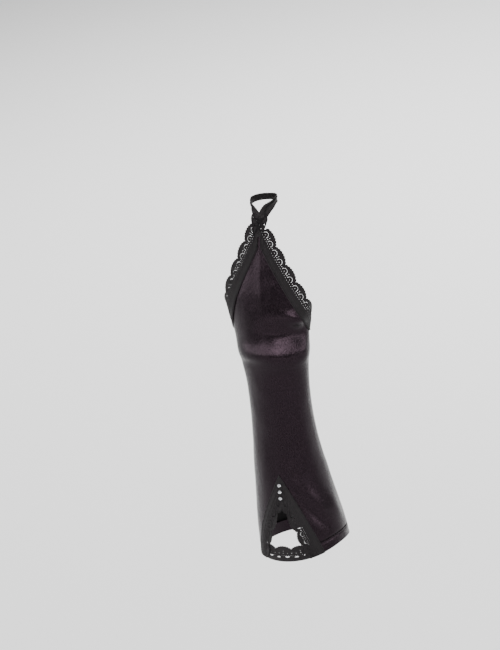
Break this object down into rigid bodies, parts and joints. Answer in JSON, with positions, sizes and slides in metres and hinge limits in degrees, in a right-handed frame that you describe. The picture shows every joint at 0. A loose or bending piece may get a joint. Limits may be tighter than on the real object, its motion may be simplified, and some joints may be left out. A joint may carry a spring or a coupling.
{
  "type": "satin glove",
  "caption": "Long fingerless black satin glove with a point over the hand, a lace finger loop, scalloped lace edges and a laced keyhole under cut stones.",
  "frame": {"origin": "centre of the opening at the elbow end, where the forearm goes in", "axes": "+Z along the arm from the elbow towards the fingers, -Y out of the back of the hand, +X towards the thumb"},
  "size_m": [0.0753, 0.0699, 0.2968],
  "materials": {
    "satin": "black stretch satin with a soft sheen and a matt reverse",
    "lace": "dull black stretch lace",
    "crystal": "clear foil-backed cut stone"
  },
  "bodies": {
    "root": {"sleeve": "satin", "arm_hem": "satin", "hand_lace": "lace", "finger_loop": "lace", "keyhole_lace": "lace", "keyhole_bridge": "lace", "stone_1": "crystal", "stone_2": "crystal", "stone_3": "crystal"}
  },
  "joints": []
}
